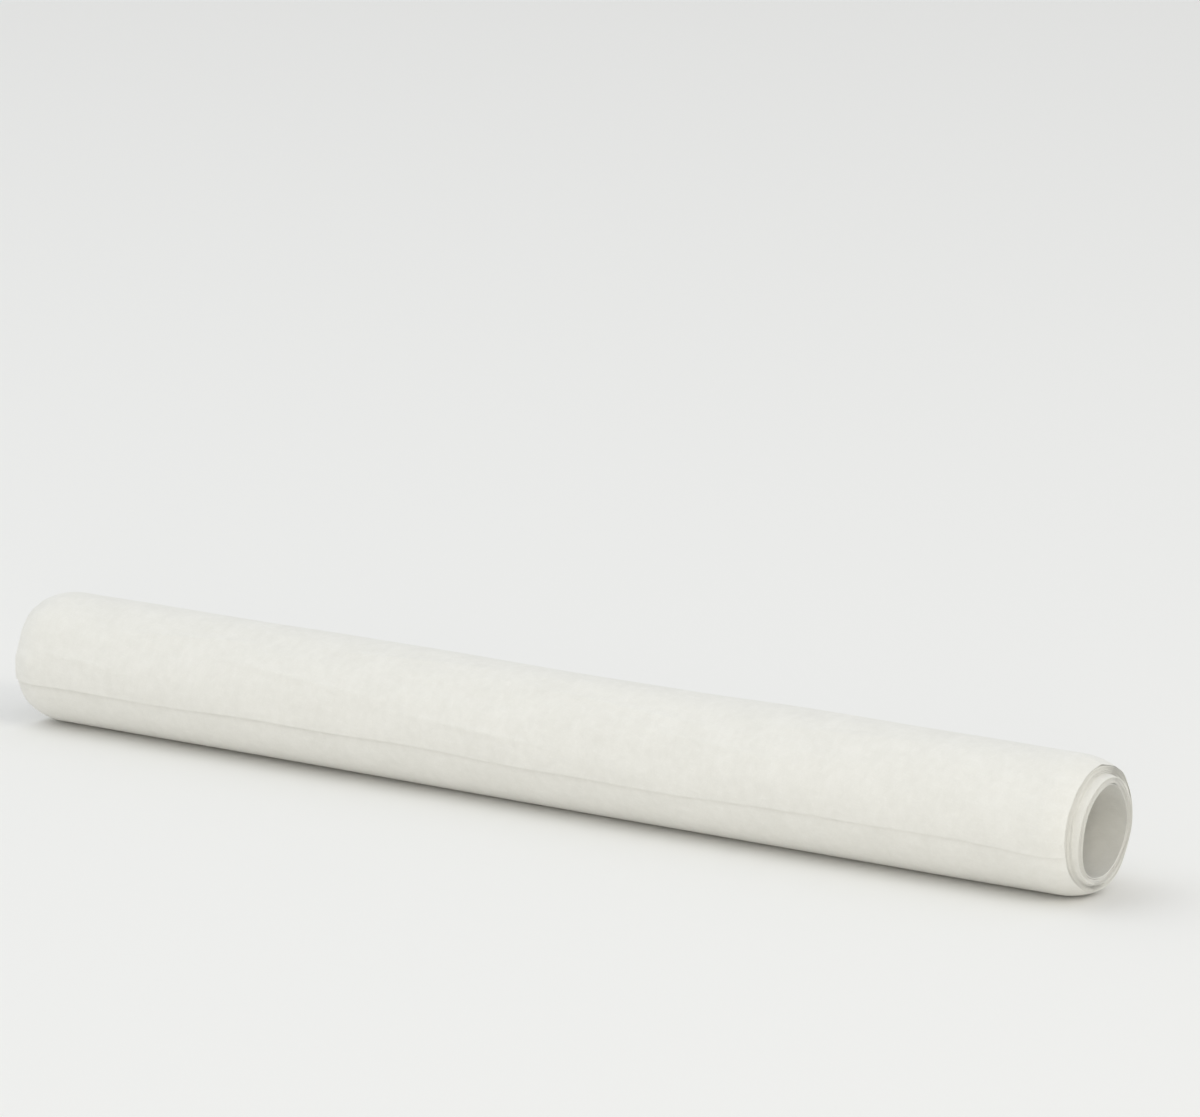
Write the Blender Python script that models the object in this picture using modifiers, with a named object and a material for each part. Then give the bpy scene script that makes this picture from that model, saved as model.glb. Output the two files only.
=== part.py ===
"""A coreless roll of embroidery stabilizer, lying on its side.

One long sheet of thin white cloth is wound on itself into a soft tube with an open middle.
+X runs along the roll, +Z is up, and the origin lies on the floor under the middle of the roll.
Angles round the roll start at +Y, at the back, and grow over the top towards the front.
"""

import math

import bpy
from mathutils import Vector

INCH = 0.0254

# The sheet before it is wound
SHEET_WIDTH = 19.5 * INCH

# The wound form, in the middle of the roll's length
HALF_WIDTH = 0.0278
HALF_HEIGHT = 0.0268
FLAT_DEPTH = 0.0007
AXIS_HEIGHT = HALF_HEIGHT - FLAT_DEPTH

# The open middle, which sits behind and below the roll's own axis
HOLLOW_HALF_WIDTH = 0.0174
HOLLOW_HALF_HEIGHT = 0.0189
HOLLOW_BACK = 0.0011
HOLLOW_DOWN = 0.0010

# The turns are drawn in towards the axis at both ends, the outer ones more than the inner ones
DRAWN_IN = 0.0029
HOLLOW_DRAWN_IN = 0.0010
DRAWN_LENGTH = 0.0120

# The inner turns have slid this far towards +X
SLID = 0.0024
SLID_UP_TO = 0.42
SLID_FADES_BY = 0.48

# The sheet's two ends: one outside on the front, one inside the hollow at the back
STEPS_ROUND = 96
STEP_ANGLE = math.tau / STEPS_ROUND
OUTER_EDGE_ROW = 51
INNER_EDGE_ROW = 10
EDGE_STEEPNESS = math.radians(0.5)
OUTER_LIFT = 0.0008
OUTER_LIFT_SPAN = math.radians(100)
INNER_LIFT = 0.0009
INNER_LIFT_SPAN = math.radians(65)

# Soft unevenness of a roll wound by hand: wave length, height, turns round the roll and shift
UNEVEN_WAVES = (
    {"wave": 0.330, "height": 0.00030, "turns": 1, "shift": 0.7},
    {"wave": 0.210, "height": 0.00022, "turns": 2, "shift": 2.4},
)
HOLLOW_UNEVEN_SHARE = 1.6

# Stations along the roll, measured from each end, and the number of spans between them
OUTER_END_STATIONS = (0.0, 0.0015, 0.0035, 0.0060, 0.0090, DRAWN_LENGTH)
INNER_END_STATIONS = (0.0, 0.0035, DRAWN_LENGTH)
OUTER_SPANS = 10
INNER_SPANS = 6

CLOTH_COLOUR = (0.88, 0.88, 0.845, 1.0)
CLOTH_ROUGHNESS = 0.92

MERGE_DISTANCE = 0.00005
SHARP_FROM = math.radians(40)


def clear_scene():
    """Removes every object, so that only the roll is left."""
    for obj in list(bpy.data.objects):
        bpy.data.objects.remove(obj, do_unlink=True)


def smooth(t):
    """Eases from 0 to 1 as t goes from 0 to 1."""
    t = min(1.0, max(0.0, t))
    return t * t * (3.0 - 2.0 * t)


def ellipse_radius(angle, half_width, half_height):
    """Distance from an ellipse's centre to its edge in one direction."""
    return 1.0 / math.hypot(math.cos(angle) / half_width, math.sin(angle) / half_height)


def unevenness(x, angle):
    """How far the surface stands proud of the plain form at one place."""
    return sum(
        w["height"] * math.sin(math.tau * x / w["wave"] + w["shift"]) * math.cos(w["turns"] * angle + w["shift"])
        for w in UNEVEN_WAVES
    )


def end_share(x):
    """How much of the drawing in is felt at one place: all at the roll's ends, none past DRAWN_LENGTH."""
    from_end = SHEET_WIDTH / 2 - abs(x)
    return max(0.0, 1.0 - from_end / DRAWN_LENGTH) ** 2


def outer_point(x, row):
    """(y, z) of the outside of the roll, with the loose outer edge and the flat that it rests on."""
    angle = row * STEP_ANGLE
    behind_edge = (OUTER_EDGE_ROW - row) * STEP_ANGLE
    lift = 0.0
    if behind_edge >= 0.0:
        lift = OUTER_LIFT * smooth(1.0 - behind_edge / OUTER_LIFT_SPAN)
    if row == OUTER_EDGE_ROW + 1:
        # this row closes up to the free edge, as the foot of its step
        angle = OUTER_EDGE_ROW * STEP_ANGLE + EDGE_STEEPNESS
    radius = ellipse_radius(angle, HALF_WIDTH, HALF_HEIGHT)
    radius += unevenness(x, angle) + lift - DRAWN_IN * end_share(x)
    if math.sin(angle) < 0.0:
        radius = min(radius, AXIS_HEIGHT / -math.sin(angle))
    return radius * math.cos(angle), AXIS_HEIGHT + radius * math.sin(angle)


def inner_point(x, row):
    """(y, z) of the wall of the open middle, with the step at the sheet's inner end."""
    angle = row * STEP_ANGLE
    past_edge = (row - INNER_EDGE_ROW) * STEP_ANGLE
    lift = 0.0
    if past_edge >= 0.0:
        lift = INNER_LIFT * smooth(1.0 - past_edge / INNER_LIFT_SPAN)
    if row == INNER_EDGE_ROW - 1:
        # this row closes up to the inner edge, as the foot of its step
        angle = INNER_EDGE_ROW * STEP_ANGLE - EDGE_STEEPNESS
    radius = ellipse_radius(angle, HOLLOW_HALF_WIDTH, HOLLOW_HALF_HEIGHT)
    radius += HOLLOW_UNEVEN_SHARE * unevenness(x, angle) - lift - HOLLOW_DRAWN_IN * end_share(x)
    return HOLLOW_BACK + radius * math.cos(angle), AXIS_HEIGHT - HOLLOW_DOWN + radius * math.sin(angle)


def slid(depth):
    """How far a turn has slid towards +X, for its depth in the wall from 0 inside to 1 outside."""
    return SLID * (1.0 - smooth((depth - SLID_UP_TO) / (SLID_FADES_BY - SLID_UP_TO)))


def stations(end_stations, spans):
    """Places along the sheet's width from +X to -X, closer together at its two edges."""
    half = SHEET_WIDTH / 2
    plain = half - DRAWN_LENGTH
    middle = [plain - 2 * plain * i / spans for i in range(1, spans)]
    return [half - s for s in end_stations] + middle + [s - half for s in reversed(end_stations)]


def wall_loop():
    """The wall's outline as (x, depth) pairs: outside, the -X end, inside, then the +X end."""
    half = SHEET_WIDTH / 2
    outside = [(x, 1.0) for x in stations(OUTER_END_STATIONS, OUTER_SPANS)]
    inside = [(x, 0.0) for x in reversed(stations(INNER_END_STATIONS, INNER_SPANS))]
    left_end = [(-half, SLID_FADES_BY), (-half, SLID_UP_TO)]
    right_end = [(half, SLID_UP_TO), (half, SLID_FADES_BY)]
    return outside + left_end + inside + right_end


def turned_ring():
    """The wall's outline turned round the X axis by a Screw modifier, as a plain round tube."""
    loop = wall_loop()
    wall = HALF_WIDTH - HOLLOW_HALF_WIDTH
    points = [(x, HOLLOW_HALF_WIDTH + depth * wall, 0.0) for x, depth in loop]
    edges = [(i, (i + 1) % len(points)) for i in range(len(points))]
    outline = bpy.data.meshes.new("wall_outline")
    outline.from_pydata(points, edges, [])
    ring = bpy.data.objects.new("stabilizer_roll", outline)
    bpy.context.scene.collection.objects.link(ring)
    screw = ring.modifiers.new("turn", "SCREW")
    screw.axis = "X"
    screw.angle = math.tau
    screw.steps = STEPS_ROUND
    screw.render_steps = STEPS_ROUND
    screw.use_merge_vertices = True
    screw.merge_threshold = MERGE_DISTANCE
    return ring


def shape_ring(ring):
    """Moves each point of the plain tube to its place in the wound, settled roll."""
    graph = bpy.context.evaluated_depsgraph_get()
    tube = bpy.data.meshes.new_from_object(ring.evaluated_get(graph))
    wall = HALF_WIDTH - HOLLOW_HALF_WIDTH
    for vertex in tube.vertices:
        x, y, z = vertex.co
        depth = (math.hypot(y, z) - HOLLOW_HALF_WIDTH) / wall
        row = round(math.atan2(z, y) / STEP_ANGLE) % STEPS_ROUND
        outer_y, outer_z = outer_point(x, row)
        inner_y, inner_z = inner_point(x, row)
        vertex.co = (
            x + slid(depth),
            inner_y + depth * (outer_y - inner_y),
            inner_z + depth * (outer_z - inner_z),
        )
    ring.modifiers.clear()
    ring.data = tube


def centre_over_origin(ring):
    """Puts the middle of the roll's box over the origin, along and across."""
    low = Vector(min(v.co[i] for v in ring.data.vertices) for i in range(3))
    high = Vector(max(v.co[i] for v in ring.data.vertices) for i in range(3))
    middle = (low + high) / 2
    for vertex in ring.data.vertices:
        vertex.co.x -= middle.x
        vertex.co.y -= middle.y


def cloth_material():
    """Matt white cloth."""
    material = bpy.data.materials.new("white_stabilizer")
    material.use_nodes = True
    shader = material.node_tree.nodes["Principled BSDF"]
    shader.inputs["Base Color"].default_value = CLOTH_COLOUR
    shader.inputs["Roughness"].default_value = CLOTH_ROUGHNESS
    shader.inputs["Metallic"].default_value = 0.0
    return material


def make_roll():
    """The whole roll as one solid, in its own collection."""
    ring = turned_ring()
    bpy.context.view_layer.update()
    shape_ring(ring)
    centre_over_origin(ring)
    ring.data.materials.append(cloth_material())
    ring.data.shade_smooth()
    ring.data.set_sharp_from_angle(angle=SHARP_FROM)
    group = bpy.data.collections.new("embroidery_stabilizer_roll")
    bpy.context.scene.collection.children.link(group)
    bpy.context.scene.collection.objects.unlink(ring)
    group.objects.link(ring)


clear_scene()
make_roll()
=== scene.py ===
"""The roll of embroidery stabilizer, dressed for its portrait.

One thin sheet is wound turn by turn from the open middle out to its free edge, as the real one is.
Lengths are in metres. Angles round the roll start at +Y, at the back, and grow over the top
towards the front. The sheet is wound outwards in the same sense.
"""

import math

import bpy
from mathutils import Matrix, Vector


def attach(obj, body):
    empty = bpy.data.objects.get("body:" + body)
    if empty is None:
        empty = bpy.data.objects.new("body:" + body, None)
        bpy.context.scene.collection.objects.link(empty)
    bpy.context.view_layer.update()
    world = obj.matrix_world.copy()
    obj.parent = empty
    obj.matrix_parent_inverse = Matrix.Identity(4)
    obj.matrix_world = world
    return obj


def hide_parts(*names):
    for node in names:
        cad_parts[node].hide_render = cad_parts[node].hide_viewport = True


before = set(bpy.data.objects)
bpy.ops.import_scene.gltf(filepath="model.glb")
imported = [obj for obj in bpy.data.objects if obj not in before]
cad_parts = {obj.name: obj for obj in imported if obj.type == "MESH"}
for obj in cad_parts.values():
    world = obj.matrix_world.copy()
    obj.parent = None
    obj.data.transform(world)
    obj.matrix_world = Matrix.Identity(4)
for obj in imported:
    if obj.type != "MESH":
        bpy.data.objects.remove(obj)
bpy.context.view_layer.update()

INCH = 0.0254
MM = 0.001

# The sheet
SHEET_WIDTH = 19.5 * INCH
SHEET_LENGTH = 180 * INCH
CLOTH_THICKNESS = 0.14 * MM

# The wound form, as in the solid
HALF_WIDTH = 27.8 * MM
HALF_HEIGHT = 26.8 * MM
FLAT_DEPTH = 0.7 * MM
AXIS_HEIGHT = HALF_HEIGHT - FLAT_DEPTH
HOLLOW_HALF_WIDTH = 17.4 * MM
HOLLOW_HALF_HEIGHT = 18.9 * MM
HOLLOW_BACK = 1.1 * MM
HOLLOW_DOWN = 1.0 * MM
DRAWN_IN = 2.9 * MM
HOLLOW_DRAWN_IN = 1.0 * MM
DRAWN_LENGTH = 12.0 * MM
SLID = 2.4 * MM
SLID_UP_TO = 0.42
SLID_FADES_BY = 0.48
OUTER_EDGE = math.radians(191.25)
INNER_EDGE = math.radians(37.5)
OUTER_LIFT = 0.8 * MM
OUTER_LIFT_SPAN = math.radians(100)
INNER_LIFT = 0.9 * MM
INNER_LIFT_SPAN = math.radians(65)
UNEVEN_WAVES = (
    {"wave": 0.330, "height": 0.30 * MM, "turns": 1, "shift": 0.7},
    {"wave": 0.210, "height": 0.22 * MM, "turns": 2, "shift": 2.4},
)
HOLLOW_UNEVEN_SHARE = 1.6

# The slid turns lie askew: the share of SLID that is felt all round, the share that comes and goes, and
# the angle where they stand out most
SLID_EVENLY = 0.84
SLID_ASKEW = 0.46
SLID_MOST_AT = math.radians(110)

# Whole turns of the winding, and the share of a turn that the two edges' places add
WHOLE_TURNS = 31
TURNS = WHOLE_TURNS + (OUTER_EDGE - INNER_EDGE) / math.tau

# Looser places between turns: share of the winding done, extra room in turns, middle of the arc and its
# half width in degrees
LOOSE_PLACES = (
    {"share": 0.10, "room": 1.4, "at": 205, "reach": 85},
    {"share": 0.26, "room": 3.2, "at": 165, "reach": 115},
    {"share": 0.47, "room": 1.6, "at": 105, "reach": 75},
    {"share": 0.63, "room": 2.4, "at": 215, "reach": 90},
    {"share": 0.82, "room": 1.5, "at": 160, "reach": 95},
)

# Uneven edges of the turns at the roll's two ends: height, waves for each radian wound and shift
EDGE_WAVES = (
    {"height": 0.28 * MM, "rate": 0.045, "shift": 3.6},
    {"height": 0.19 * MM, "rate": 0.73, "shift": 1.0},
    {"height": 0.13 * MM, "rate": 1.31, "shift": 2.2},
    {"height": 0.07 * MM, "rate": 2.90, "shift": 0.4},
)

# The free outer edge wanders round the roll along its length: wave length, height and shift
FREE_EDGE_WANDER = (
    {"wave": 0.260, "height": math.radians(1.6), "shift": 0.5},
    {"wave": 0.083, "height": math.radians(0.6), "shift": 2.0},
)
# How far the free edge stands off, as a share of OUTER_LIFT, at places along the roll
FREE_EDGE_LIFT = (
    {"x": -0.250, "share": 0.80},
    {"x": -0.170, "share": 0.30},
    {"x": -0.100, "share": 0.70},
    {"x": -0.030, "share": 0.25},
    {"x": 0.040, "share": 0.55},
    {"x": 0.095, "share": 0.20},
    {"x": 0.130, "share": 0.42},
    {"x": 0.160, "share": 0.12},
    {"x": 0.190, "share": 0.28},
    {"x": 0.225, "share": 0.06},
    {"x": 0.250, "share": 0.10},
)

# Broad dents and swells in the outermost turn, given one by one: place along the roll, angle, half length
# along, half reach round in degrees, depth, and how far the dent's line turns round over its length
CREASES = (
    {"x": 0.200, "at": 118, "along": 0.042, "round": 14, "depth": 0.34 * MM, "turn": -6},
    {"x": 0.170, "at": 150, "along": 0.050, "round": 11, "depth": -0.36 * MM, "turn": -12},
    {"x": 0.110, "at": 128, "along": 0.080, "round": 9, "depth": -0.50 * MM, "turn": 12},
    {"x": 0.050, "at": 165, "along": 0.070, "round": 9, "depth": -0.58 * MM, "turn": 12},
    {"x": 0.015, "at": 108, "along": 0.065, "round": 12, "depth": 0.50 * MM, "turn": -9},
    {"x": -0.030, "at": 140, "along": 0.075, "round": 8, "depth": -0.62 * MM, "turn": 10},
    {"x": -0.085, "at": 172, "along": 0.060, "round": 9, "depth": -0.52 * MM, "turn": -9},
    {"x": -0.120, "at": 120, "along": 0.070, "round": 9, "depth": -0.60 * MM, "turn": 11},
    {"x": -0.185, "at": 148, "along": 0.055, "round": 8, "depth": -0.58 * MM, "turn": -10},
    {"x": -0.205, "at": 104, "along": 0.042, "round": 12, "depth": 0.44 * MM, "turn": 6},
    {"x": 0.095, "at": 62, "along": 0.080, "round": 9, "depth": -0.56 * MM, "turn": -9},
    {"x": 0.000, "at": 70, "along": 0.060, "round": 11, "depth": -0.46 * MM, "turn": 8},
    {"x": -0.065, "at": 35, "along": 0.080, "round": 10, "depth": -0.54 * MM, "turn": 9},
    {"x": -0.170, "at": 66, "along": 0.060, "round": 8, "depth": -0.58 * MM, "turn": 8},
    {"x": 0.165, "at": 12, "along": 0.060, "round": 9, "depth": -0.50 * MM, "turn": 9},
    {"x": -0.150, "at": 356, "along": 0.065, "round": 9, "depth": -0.46 * MM, "turn": -8},
)

# Narrow ridges where only the outermost turn stands off, given in the same way
RIDGES = (
    {"x": 0.212, "at": 132, "along": 0.030, "round": 3.2, "depth": 0.30 * MM, "turn": 5},
    {"x": 0.152, "at": 116, "along": 0.055, "round": 3.4, "depth": 0.38 * MM, "turn": -7},
    {"x": 0.094, "at": 148, "along": 0.050, "round": 3.0, "depth": 0.50 * MM, "turn": 8},
    {"x": 0.040, "at": 126, "along": 0.065, "round": 3.4, "depth": 0.62 * MM, "turn": 9},
    {"x": -0.020, "at": 168, "along": 0.050, "round": 3.0, "depth": 0.56 * MM, "turn": 6},
    {"x": -0.055, "at": 112, "along": 0.055, "round": 3.2, "depth": 0.54 * MM, "turn": -9},
    {"x": -0.105, "at": 150, "along": 0.060, "round": 3.4, "depth": 0.66 * MM, "turn": 10},
    {"x": -0.160, "at": 128, "along": 0.048, "round": 3.2, "depth": 0.58 * MM, "turn": -9},
    {"x": -0.212, "at": 166, "along": 0.032, "round": 3.0, "depth": 0.50 * MM, "turn": 6},
    {"x": 0.120, "at": 76, "along": 0.070, "round": 3.4, "depth": 0.60 * MM, "turn": 9},
    {"x": -0.010, "at": 44, "along": 0.075, "round": 3.6, "depth": 0.72 * MM, "turn": -9},
    {"x": -0.125, "at": 58, "along": 0.055, "round": 3.2, "depth": 0.64 * MM, "turn": 8},
    {"x": -0.150, "at": 18, "along": 0.060, "round": 3.4, "depth": 0.80 * MM, "turn": 7},
    {"x": 0.070, "at": 8, "along": 0.065, "round": 3.4, "depth": 0.80 * MM, "turn": 6},
)

# The two ends aren't quite oval: lobes in the rim of the open middle and in the outer turns
HOLLOW_LOBES = (
    {"count": 2, "height": 0.45 * MM, "shift": 0.9},
    {"count": 3, "height": 0.40 * MM, "shift": 2.6},
    {"count": 5, "height": 0.20 * MM, "shift": 1.4},
)
OUTER_LOBES = (
    {"count": 3, "height": 0.22 * MM, "shift": 4.4},
    {"count": 4, "height": 0.26 * MM, "shift": 0.3},
    {"count": 7, "height": 0.16 * MM, "shift": 1.9},
)
LOBE_LENGTH = 55.0 * MM

# Small puckers round the two ends of the outermost turn, where it is drawn in
PUCKERS = (
    {"count": 9, "height": 0.14 * MM, "shift": 0.6},
    {"count": 16, "height": 0.12 * MM, "shift": 2.1},
    {"count": 27, "height": 0.07 * MM, "shift": 4.0},
)
PUCKER_LENGTH = 24.0 * MM

# The mesh: turns in each zone, steps in each turn, and spans along the roll
INNER_ZONE = {"turns": 1.15, "steps": 100}
MIDDLE_ZONE = {"steps": 60}
OUTER_ZONE = {"turns": 1.12, "steps": 220}
END_STATIONS = (0.0, 0.0035, 0.0075, DRAWN_LENGTH)
MIDDLE_SPANS = 8
FINE_SPANS_IN_END = (2, 2, 2)
INNER_SPANS_IN_MIDDLE = 16
OUTER_SPANS_IN_MIDDLE = 48
SHARP_FROM = math.radians(50)

# The turns between the innermost and the outermost are coarser. Away from the roll's ends they lie back
# from both, so that none comes through
OUTER_BACK = 0.8 * MM
INNER_BACK = 0.3 * MM

# The map that the cloth is baked through gives most of its height to the turns that show
BAKE_MAP = (
    {"turns": 0.0, "up": 0.0},
    {"turns": INNER_ZONE["turns"], "up": 0.22},
    {"turns": TURNS - OUTER_ZONE["turns"], "up": 0.40},
    {"turns": TURNS, "up": 1.0},
)

# The floor lies a hair under the cloth, so that no two faces share a plane
FLOOR_GAP = 0.02 * MM

# Cloth: where its web is thick and where it is thin, and how matt it is
CLOTH_WHITE = (0.845, 0.835, 0.785, 1.0)
CLOTH_THIN = (0.755, 0.745, 0.69, 1.0)
CLOTH_ROUGHNESS = 0.88
CLOTH_SPECULAR = 0.3
CLOTH_SHEEN = 0.35
CLOTH_SHEEN_ROUGHNESS = 0.8

# Clouds and fibres in the web, in real sizes
NOISE_DISTORTION = 0.25
CLOUD_SIZES = (14.0 * MM, 3.5 * MM)
CLOUD_DETAIL = 3.0
CLOUD_RANGE = (0.31, 0.69)
CLOUD_HEIGHT = 0.07 * MM
FIBRE_LAYERS = (
    {"turn": math.radians(10), "length": 7.0 * MM, "apart": 0.60 * MM},
    {"turn": math.radians(72), "length": 4.5 * MM, "apart": 0.52 * MM},
    {"turn": math.radians(-48), "length": 5.5 * MM, "apart": 0.56 * MM},
)
FIBRE_DETAIL = 1.0
FIBRE_MIDDLE = 0.5
FIBRE_REACH = 0.06
FIBRE_HEIGHT = 0.06 * MM

# Stage and light: a cool key from above, a warm low fill from the front and a light on the roll's end
FLOOR_SIZE = 14.0
FLOOR_COLOUR = (0.875, 0.87, 0.85, 1.0)
FLOOR_ROUGHNESS = 0.8
FLOOR_SPECULAR = 0.2
SKY_COLOUR = (0.77, 0.775, 0.78, 1.0)
SKY_STRENGTH = 1.0
LIGHTS = (
    {"name": "key", "place": (-1.3, -0.8, 3.1), "size": 3.0, "watts": 20, "colour": (0.86, 0.94, 1.0)},
    {"name": "fill", "place": (2.0, -3.0, 0.45), "size": 0.85, "watts": 18, "colour": (1.0, 0.94, 0.82)},
    {"name": "end", "place": (3.0, -0.7, 2.3), "size": 1.2, "watts": 20, "colour": (1.0, 0.97, 0.90)},
)

# Camera: where it stands, what it aims at beside and over the roll's middle, and its lens in millimetres
CAMERA_AZIMUTH = math.radians(34.5)
CAMERA_ELEVATION = math.radians(12.5)
CAMERA_DISTANCE = 2.5
CAMERA_AIM_HEIGHT = 0.025
CAMERA_AIM_RIGHT = 0.0190
CAMERA_AIM_UP = 0.0707
CAMERA_LENS = 192.5
CAMERA_SENSOR = 36.0
CAMERA_REACH = 50.0


def smooth(t):
    """Eases from 0 to 1 as t goes from 0 to 1."""
    t = min(1.0, max(0.0, t))
    return t * t * (3.0 - 2.0 * t)


def ellipse_radius(angle, half_width, half_height):
    """Distance from an ellipse's centre to its edge in one direction."""
    return 1.0 / math.hypot(math.cos(angle) / half_width, math.sin(angle) / half_height)


def wave_at(wave, x):
    """Height of one plain wave along the roll at one place."""
    return wave["height"] * math.sin(math.tau * x / wave["wave"] + wave["shift"])


def unevenness(x, angle):
    """How far the surface stands proud of the plain form at one place."""
    return sum(wave_at(w, x) * math.cos(w["turns"] * angle + w["shift"]) for w in UNEVEN_WAVES)


def near_end(x, length):
    """How near one place across the sheet is to its nearer edge: 1 at the edge, 0 from a length away."""
    from_end = SHEET_WIDTH / 2 - abs(x)
    return max(0.0, 1.0 - from_end / length)


def degrees_apart(angle, degrees):
    """How far an angle is from one given in degrees, as degrees from -180 to 180."""
    return (math.degrees(angle) - degrees + 180.0) % 360.0 - 180.0


def rows_round(table, key, place):
    """The two rows of a table that one place lies between, and how far it is from the first to the second."""
    for before, after in zip(table, table[1:]):
        if place <= after[key]:
            break
    return before, after, (place - before[key]) / (after[key] - before[key])


def folds(table, x, angle):
    """Height of the dents, swells or ridges in one table at one place."""
    total = 0.0
    for fold in table:
        along = (x - fold["x"]) / fold["along"]
        if abs(along) < 1.0:
            across = degrees_apart(angle, fold["at"] + fold["turn"] * along) / fold["round"]
            total += fold["depth"] * (1.0 - along * along) ** 2 * math.exp(-across * across)
    return total


def lobes(table, x, angle):
    """How far a turn stands out in the lobes of one table, which differ between the roll's two ends."""
    fade = smooth(near_end(x, LOBE_LENGTH))
    side = math.copysign(1.0, x)
    return fade * sum(b["height"] * math.sin(b["count"] * angle + side * b["shift"]) for b in table)


def puckers(x, angle):
    """How far the outermost turn stands off in its puckers at one place."""
    fade = smooth(near_end(x, PUCKER_LENGTH))
    side = math.copysign(1.0, x)
    return fade * sum(p["height"] * (1.0 + math.sin(p["count"] * angle + side * p["shift"])) for p in PUCKERS)


def free_edge_lift(x):
    """How far the free outer edge stands off at one place along the roll."""
    before, after, part = rows_round(FREE_EDGE_LIFT, "x", x)
    return OUTER_LIFT * (before["share"] + smooth(part) * (after["share"] - before["share"]))


def wall_depth(share, angle):
    """Place in the wall from 0 inside to 1 outside, for the share of the winding done."""
    done, whole = share * TURNS, TURNS
    for place in LOOSE_PLACES:
        off = degrees_apart(angle, place["at"]) / place["reach"]
        if abs(off) < 1.0:
            room = place["room"] * (1.0 - off * off) ** 2
            done += room * smooth((share - place["share"]) * TURNS + 0.5)
            whole += room
    return done / whole


def slid(share, angle):
    """How far a turn has slid towards +X at one angle: the inner turns lie a little askew."""
    here = SLID_EVENLY + SLID_ASKEW * math.cos(angle - SLID_MOST_AT)
    return SLID * here * (1.0 - smooth((share - SLID_UP_TO) / (SLID_FADES_BY - SLID_UP_TO)))


def hidden(share):
    """How far the sheet is hidden: 0 in the innermost turn and the outermost one, and 1 between them."""
    from_inside = (share * TURNS - 1.0) / (INNER_ZONE["turns"] - 1.0)
    from_outside = ((1.0 - share) * TURNS - 1.0) / (OUTER_ZONE["turns"] - 1.0)
    return smooth(min(from_inside, from_outside))


def uneven_edge(wound):
    """How far a turn stands out at the roll's ends, for the angle wound so far."""
    return sum(w["height"] * math.sin(w["rate"] * wound + w["shift"]) for w in EDGE_WAVES)


def sheet_point(across, share):
    """Place of one point of the sheet, from its place across the width and the share of the winding done."""
    last_turn = smooth(1.0 - (1.0 - share) * TURNS)
    wander = sum(wave_at(w, across) for w in FREE_EDGE_WANDER) * last_turn
    wound = share * TURNS * math.tau
    angle = INNER_EDGE + wound + wander
    x = across + slid(share, angle) + uneven_edge(wound)

    half = CLOTH_THICKNESS / 2
    drawn = near_end(across, DRAWN_LENGTH) ** 2
    outer = ellipse_radius(angle, HALF_WIDTH, HALF_HEIGHT) - half
    outer += unevenness(across, angle) + lobes(OUTER_LOBES, across, angle) - DRAWN_IN * drawn
    inner = ellipse_radius(angle, HOLLOW_HALF_WIDTH, HOLLOW_HALF_HEIGHT) + half
    inner += HOLLOW_UNEVEN_SHARE * unevenness(across, angle) - HOLLOW_DRAWN_IN * drawn
    inner += lobes(HOLLOW_LOBES, across, angle)
    back = hidden(share) * (1.0 - near_end(across, DRAWN_LENGTH))
    outer += folds(CREASES, across, angle) * (1.0 - back)
    outer += (folds(RIDGES, across, angle) + puckers(across, angle)) * last_turn

    to_free_edge = (1.0 - share) * TURNS * math.tau
    outer += free_edge_lift(across) * smooth(1.0 - to_free_edge / OUTER_LIFT_SPAN)
    inner -= INNER_LIFT * smooth(1.0 - wound / INNER_LIFT_SPAN)

    if math.sin(angle) < 0.0:
        outer = min(outer, (AXIS_HEIGHT - half) / -math.sin(angle))
    outer -= OUTER_BACK * back
    inner += INNER_BACK * back
    depth = wall_depth(share, angle)
    inner_y = HOLLOW_BACK + inner * math.cos(angle)
    inner_z = AXIS_HEIGHT - HOLLOW_DOWN + inner * math.sin(angle)
    outer_y = outer * math.cos(angle)
    outer_z = AXIS_HEIGHT + outer * math.sin(angle)
    return x, inner_y + depth * (outer_y - inner_y), inner_z + depth * (outer_z - inner_z)


def main_stations():
    """Places across the width that every zone of the mesh has, from -X to +X."""
    half = SHEET_WIDTH / 2
    plain = half - DRAWN_LENGTH
    middle = [-plain + 2 * plain * i / MIDDLE_SPANS for i in range(1, MIDDLE_SPANS)]
    return [s - half for s in END_STATIONS] + middle + [half - s for s in reversed(END_STATIONS)]


def cut_finer(stations, middle_spans):
    """The stations with each span cut into more, as (place, main station number or None) pairs."""
    pieces = FINE_SPANS_IN_END + (middle_spans // MIDDLE_SPANS,) * MIDDLE_SPANS + FINE_SPANS_IN_END[::-1]
    fine = []
    for number, count in enumerate(pieces):
        low, high = stations[number], stations[number + 1]
        fine.append((low, number))
        fine += [(low + (high - low) * i / count, None) for i in range(1, count)]
    fine.append((stations[-1], len(stations) - 1))
    return fine


def winding_rows():
    """Shares of the winding for each row of the mesh, with each row's zone."""
    inner_end = INNER_ZONE["turns"] / TURNS
    outer_start = 1.0 - OUTER_ZONE["turns"] / TURNS
    rows = []
    for zone, low, high, steps in (
        ("inner", 0.0, inner_end, INNER_ZONE["steps"]),
        ("middle", inner_end, outer_start, MIDDLE_ZONE["steps"]),
        ("outer", outer_start, 1.0, OUTER_ZONE["steps"]),
    ):
        count = round((high - low) * TURNS * steps)
        rows += [(low + (high - low) * i / count, zone) for i in range(count)]
    return rows + [(1.0, "outer")]


def bake_place(across, share):
    """Place in the bake map of one point of the sheet."""
    before, after, part = rows_round(BAKE_MAP, "turns", share * TURNS)
    return across / SHEET_WIDTH + 0.5, before["up"] + part * (after["up"] - before["up"])


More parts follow.
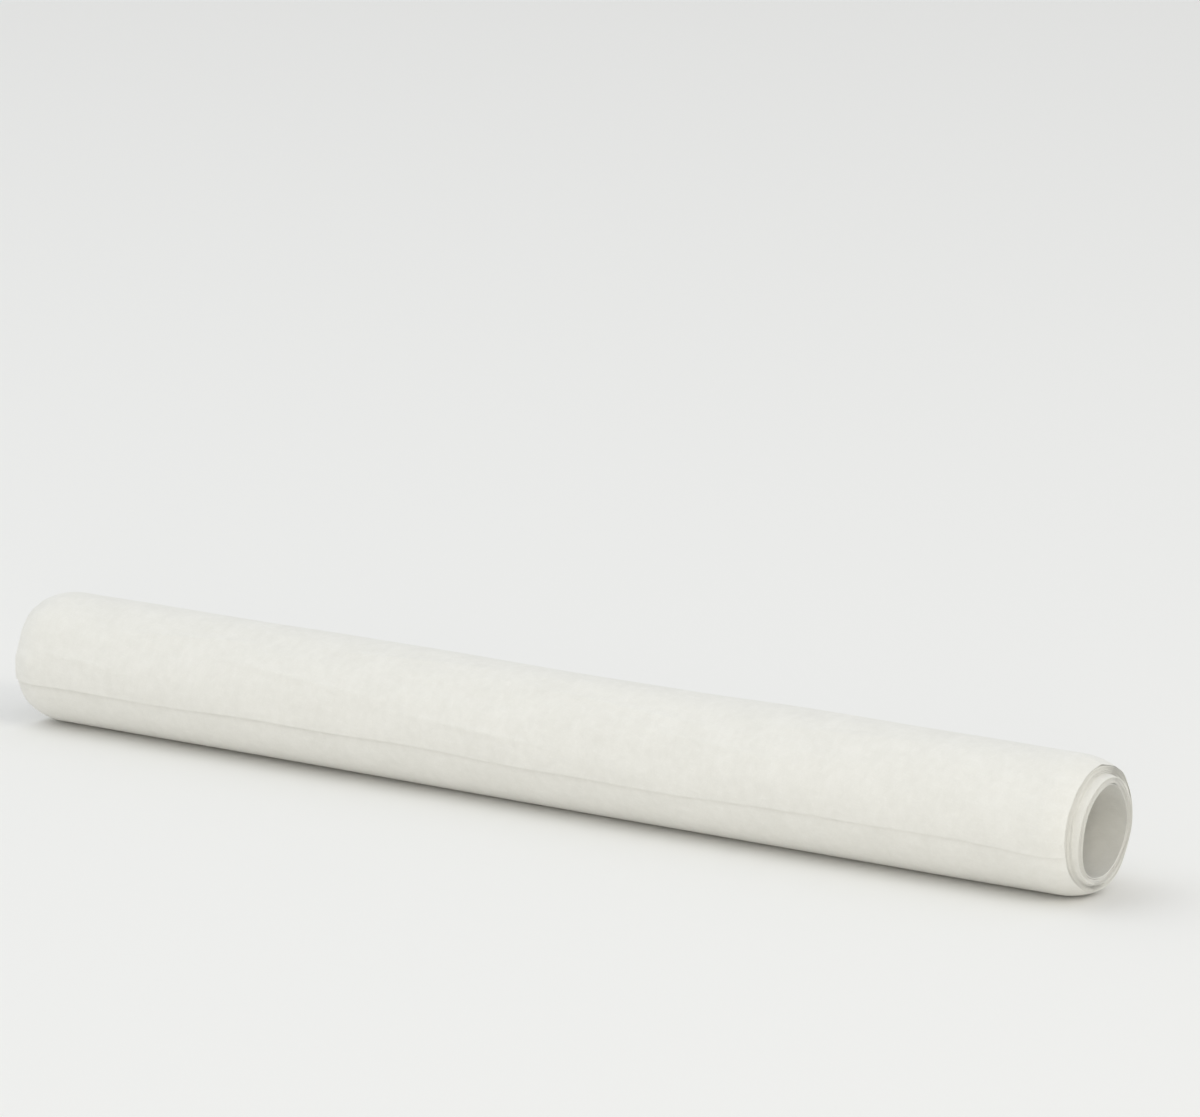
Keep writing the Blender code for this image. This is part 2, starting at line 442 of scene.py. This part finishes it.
def add_map(mesh, name, places):
    """Adds a UV map that puts each point of the mesh at its place."""
    layer = mesh.uv_layers.new(name=name)
    for loop in mesh.loops:
        layer.data[loop.index].uv = places[loop.vertex_index]


def wound_sheet():
    """The whole sheet as one open surface, with its flat size as one UV map, in metres, and the bake map."""
    main = main_stations()
    zones = {
        "inner": cut_finer(main, INNER_SPANS_IN_MIDDLE),
        "middle": [(x, i) for i, x in enumerate(main)],
        "outer": cut_finer(main, OUTER_SPANS_IN_MIDDLE),
    }
    points, flat, baked, faces = [], [], [], []
    last = None
    for share, zone in winding_rows():
        row = []
        for across, number in zones[zone]:
            row.append((len(points), number))
            points.append(sheet_point(across, share))
            flat.append((across + SHEET_WIDTH / 2, share * SHEET_LENGTH))
            baked.append(bake_place(across, share))
        if last is not None:
            faces += faces_between(last, row)
        last = row
    mesh = bpy.data.meshes.new("stabilizer_sheet")
    mesh.from_pydata(points, [], faces)
    add_map(mesh, "flat_sheet", flat)
    add_map(mesh, "OFBake", baked)
    sheet = bpy.data.objects.new("stabilizer_sheet", mesh)
    bpy.context.scene.collection.objects.link(sheet)
    return sheet


def faces_between(below, above):
    """Faces that join two rows, span by span where the rows differ."""
    if len(below) == len(above):
        return [
            (below[i][0], below[i + 1][0], above[i + 1][0], above[i][0])
            for i in range(len(below) - 1)
        ]
    return [
        tuple(span(below, number)) + tuple(reversed(span(above, number)))
        for number in range(len(main_stations()) - 1)
    ]


def span(row, number):
    """A row's points from one main station to the next."""
    numbers = [n for _, n in row]
    return [row[i][0] for i in range(numbers.index(number), numbers.index(number + 1) + 1)]


def thicken(sheet):
    """Gives the sheet its thickness and plain cut edges."""
    solidify = sheet.modifiers.new("thickness", "SOLIDIFY")
    solidify.thickness = CLOTH_THICKNESS
    solidify.offset = 0.0
    solidify.use_even_offset = False
    graph = bpy.context.evaluated_depsgraph_get()
    thick = bpy.data.meshes.new_from_object(sheet.evaluated_get(graph))
    sheet.modifiers.clear()
    sheet.data = thick
    thick.shade_smooth()
    thick.set_sharp_from_angle(angle=SHARP_FROM)


def centre_over_origin(sheet):
    """Puts the middle of the sheet's box over the origin, along and across, as the solid's is."""
    places = [vertex.co for vertex in sheet.data.vertices]
    shift_x = -(min(p.x for p in places) + max(p.x for p in places)) / 2
    shift_y = -(min(p.y for p in places) + max(p.y for p in places)) / 2
    for place in places:
        place.x += shift_x
        place.y += shift_y


def add_node(tree, kind, inputs=(), **settings):
    """Adds a shader node with its settings. Inputs are pairs of a name or number and a value or link."""
    made = tree.nodes.new(kind)
    for name, value in settings.items():
        setattr(made, name, value)
    for key, value in inputs:
        if isinstance(value, bpy.types.NodeSocket):
            tree.links.new(value, made.inputs[key])
        else:
            made.inputs[key].default_value = value
    return made


def worked_out(tree, operation, *values):
    """The result of one Math node."""
    return add_node(tree, "ShaderNodeMath", enumerate(values), operation=operation).outputs["Value"]


def mean_of(tree, values):
    """The mean of several values."""
    total = values[0]
    for value in values[1:]:
        total = worked_out(tree, "ADD", total, value)
    return worked_out(tree, "DIVIDE", total, len(values))


def sheet_noise(tree, place, size, detail, turn=0.0):
    """Noise on the flat sheet, for a feature size along and across in metres."""
    inputs = [("Vector", place), ("Rotation", (0.0, 0.0, turn)), ("Scale", (*size, 1.0))]
    moved = add_node(tree, "ShaderNodeMapping", inputs, vector_type="TEXTURE").outputs["Vector"]
    inputs = [("Vector", moved), ("Scale", 1.0), ("Detail", detail), ("Distortion", NOISE_DISTORTION)]
    return add_node(tree, "ShaderNodeTexNoise", inputs, noise_dimensions="2D").outputs["Fac"]


def fibre_layer(tree, place, turn, length, apart):
    """Thin fibres that lean one way: the middle heights of a noise drawn out along them."""
    noise = sheet_noise(tree, place, (length, apart), FIBRE_DETAIL, turn)
    off = worked_out(tree, "ABSOLUTE", worked_out(tree, "SUBTRACT", noise, FIBRE_MIDDLE))
    inputs = [("Value", off), ("From Max", FIBRE_REACH), ("To Min", 1.0), ("To Max", 0.0)]
    return add_node(tree, "ShaderNodeMapRange", inputs, interpolation_type="SMOOTHSTEP").outputs["Result"]


def cloth_material():
    """Matt white nonwoven cloth: a cloudy web of fine fibres that cross each other."""
    material = bpy.data.materials.new("stabilizer_cloth")
    material.use_nodes = True
    tree = material.node_tree
    shader = tree.nodes["Principled BSDF"]
    shader.inputs["Roughness"].default_value = CLOTH_ROUGHNESS
    shader.inputs["Specular IOR Level"].default_value = CLOTH_SPECULAR
    shader.inputs["Sheen Weight"].default_value = CLOTH_SHEEN
    shader.inputs["Sheen Roughness"].default_value = CLOTH_SHEEN_ROUGHNESS

    place = add_node(tree, "ShaderNodeUVMap", uv_map="flat_sheet").outputs["UV"]
    clouds = mean_of(tree, [sheet_noise(tree, place, (size, size), CLOUD_DETAIL) for size in CLOUD_SIZES])
    inputs = [("Value", clouds), ("From Min", CLOUD_RANGE[0]), ("From Max", CLOUD_RANGE[1])]
    clouds = add_node(tree, "ShaderNodeMapRange", inputs).outputs["Result"]
    fibres = mean_of(tree, [fibre_layer(tree, place, **layer) for layer in FIBRE_LAYERS])
    web = mean_of(tree, [clouds, fibres])

    # The Mix node has inputs of one name for each kind of value. Its colours are inputs 6 and 7 and output 2
    inputs = [("Factor", web), (6, CLOTH_THIN), (7, CLOTH_WHITE)]
    colour = add_node(tree, "ShaderNodeMix", inputs, data_type="RGBA").outputs[2]
    tree.links.new(colour, shader.inputs["Base Color"])

    inputs = [("Height", clouds), ("Distance", CLOUD_HEIGHT)]
    low = add_node(tree, "ShaderNodeBump", inputs).outputs["Normal"]
    inputs = [("Height", fibres), ("Distance", FIBRE_HEIGHT), ("Normal", low)]
    fine = add_node(tree, "ShaderNodeBump", inputs).outputs["Normal"]
    tree.links.new(fine, shader.inputs["Normal"])
    return material


def pale_stage():
    """Plain pale floor under a plain pale sky."""
    bpy.ops.mesh.primitive_plane_add(size=FLOOR_SIZE, location=(0.0, 0.0, -FLOOR_GAP))
    floor = bpy.context.object
    floor.name = "floor"
    material = bpy.data.materials.new("floor_paper")
    material.use_nodes = True
    shader = material.node_tree.nodes["Principled BSDF"]
    shader.inputs["Base Color"].default_value = FLOOR_COLOUR
    shader.inputs["Roughness"].default_value = FLOOR_ROUGHNESS
    shader.inputs["Specular IOR Level"].default_value = FLOOR_SPECULAR
    floor.data.materials.append(material)

    world = bpy.data.worlds.new("studio")
    world.use_nodes = True
    sky = world.node_tree.nodes["Background"]
    sky.inputs["Color"].default_value = SKY_COLOUR
    sky.inputs["Strength"].default_value = SKY_STRENGTH
    bpy.context.scene.world = world
    bpy.context.scene.view_settings.view_transform = "Standard"


def soft_light(name, place, size, watts, colour):
    """A square soft light that faces the roll."""
    data = bpy.data.lights.new(name, "AREA")
    data.shape = "SQUARE"
    data.size = size
    data.energy = watts
    data.color = colour
    light = bpy.data.objects.new(name, data)
    light.location = place
    light.rotation_mode = "QUATERNION"
    light.rotation_quaternion = (-Vector(place)).to_track_quat("-Z", "Y")
    bpy.context.scene.collection.objects.link(light)


def camera():
    """Long lens from the front right, a little above, aimed to leave the photo's room over the roll."""
    cos_e, sin_e = math.cos(CAMERA_ELEVATION), math.sin(CAMERA_ELEVATION)
    cos_a, sin_a = math.cos(CAMERA_AZIMUTH), math.sin(CAMERA_AZIMUTH)
    back = Vector((sin_a * cos_e, -cos_a * cos_e, sin_e))
    right = Vector((cos_a, sin_a, 0.0))
    up = back.cross(right)
    data = bpy.data.cameras.new("camera")
    data.lens = CAMERA_LENS
    data.sensor_width = CAMERA_SENSOR
    data.clip_end = CAMERA_REACH
    eye = bpy.data.objects.new("camera", data)
    aim = Vector((0.0, 0.0, CAMERA_AIM_HEIGHT)) + CAMERA_AIM_RIGHT * right + CAMERA_AIM_UP * up
    eye.location = aim + CAMERA_DISTANCE * back
    eye.rotation_mode = "QUATERNION"
    eye.rotation_quaternion = (-back).to_track_quat("-Z", "Y")
    bpy.context.scene.collection.objects.link(eye)
    bpy.context.scene.camera = eye


camera()
pale_stage()
for light in LIGHTS:
    soft_light(**light)

sheet = wound_sheet()
thicken(sheet)
centre_over_origin(sheet)
sheet.data.materials.append(cloth_material())

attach(sheet, "root")
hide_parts("stabilizer_roll")
